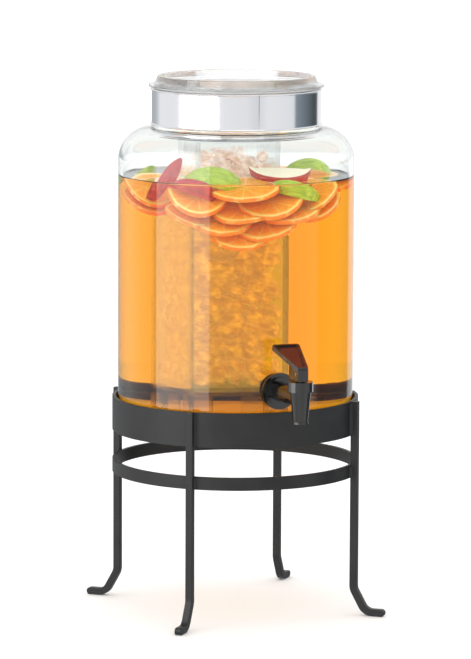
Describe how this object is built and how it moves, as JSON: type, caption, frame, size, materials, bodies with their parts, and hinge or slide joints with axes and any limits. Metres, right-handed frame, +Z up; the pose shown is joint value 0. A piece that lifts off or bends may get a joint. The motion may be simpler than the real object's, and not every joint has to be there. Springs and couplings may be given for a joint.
{
  "type": "beverage dispenser",
  "caption": "Clear glass drink jar with a chromed neck collar, lift-off lid, upright ice chamber and black push tap, resting on a bent-bar steel ring stand.",
  "frame": {"origin": "on the table under the centre of the jar and stand", "axes": "+Z up along the jar's axis; the tap points along -Y; +X to the right as the tap faces the viewer"},
  "size_m": [0.22, 0.281, 0.478],
  "materials": {
    "stand_steel": "satin black powder coat",
    "jar_glass": "clear, polished",
    "collar_steel": "polished",
    "clear_plastic": "clear moulded plastic, glossy",
    "clear_acrylic": "clear acrylic sheet, polished",
    "silicone": "translucent silicone",
    "black_rubber": "matt",
    "tap_plastic": "glossy black",
    "steel_pin": "plain"
  },
  "bodies": {
    "stand": {"upper_band": "stand_steel", "lower_band": "stand_steel", "jar_ledge": "stand_steel", "leg_front_right": "stand_steel", "leg_back_right": "stand_steel", "leg_back_left": "stand_steel", "leg_front_left": "stand_steel", "weld_beads": "stand_steel"},
    "jar": {"jar_base": "jar_glass", "jar_side": "jar_glass", "jar_shoulder": "jar_glass", "jar_neck": "jar_glass", "neck_collar": "collar_steel", "tap_body": "tap_plastic", "tap_bonnet": "tap_plastic", "outer_gasket": "black_rubber", "inner_gasket": "black_rubber", "lock_nut": "tap_plastic"},
    "lid": {"lid": "clear_plastic", "lid_seal": "silicone"},
    "ice_chamber": {"chamber_wall_front": "clear_acrylic", "chamber_wall_back": "clear_acrylic", "chamber_wall_right": "clear_acrylic", "chamber_wall_left": "clear_acrylic", "chamber_floor": "clear_acrylic"},
    "valve": {"valve_stem": "steel_pin", "seat_cup": "silicone", "lever_pin": "steel_pin", "tap_spring": "steel_pin"},
    "lever": {"lever": "tap_plastic"}
  },
  "joints": [
    {"name": "jar_lift", "type": "slide", "parent": "stand", "child": "jar", "axis": [0, 0, 1], "range_m": [0, 0.06]},
    {"name": "lid_lift", "type": "slide", "parent": "jar", "child": "lid", "axis": [0, 0, 1], "range_m": [0, 0.3]},
    {"name": "chamber_lift", "type": "slide", "parent": "jar", "child": "ice_chamber", "axis": [0, 0, 1], "range_m": [0, 0.3]},
    {"name": "valve_lift", "type": "slide", "parent": "jar", "child": "valve", "axis": [0, 0, 1], "range_m": [0, 0.0032], "deforming": ["tap_spring"]},
    {"name": "lever_hinge", "type": "hinge", "parent": "valve", "child": "lever", "pos_m": [0, -0.16, 0.233], "axis": [1, 0, 0], "range_deg": [0, 30], "stiffness_Nm_per_rad": 0.12, "springref_deg": -20.05}
  ],
  "couplings": [
    {"joint": "chamber_lift", "follows": "lid_lift", "ratio": 1},
    {"joint": "valve_lift", "follows": "lever_hinge", "m_per_rad": 0.006}
  ]
}
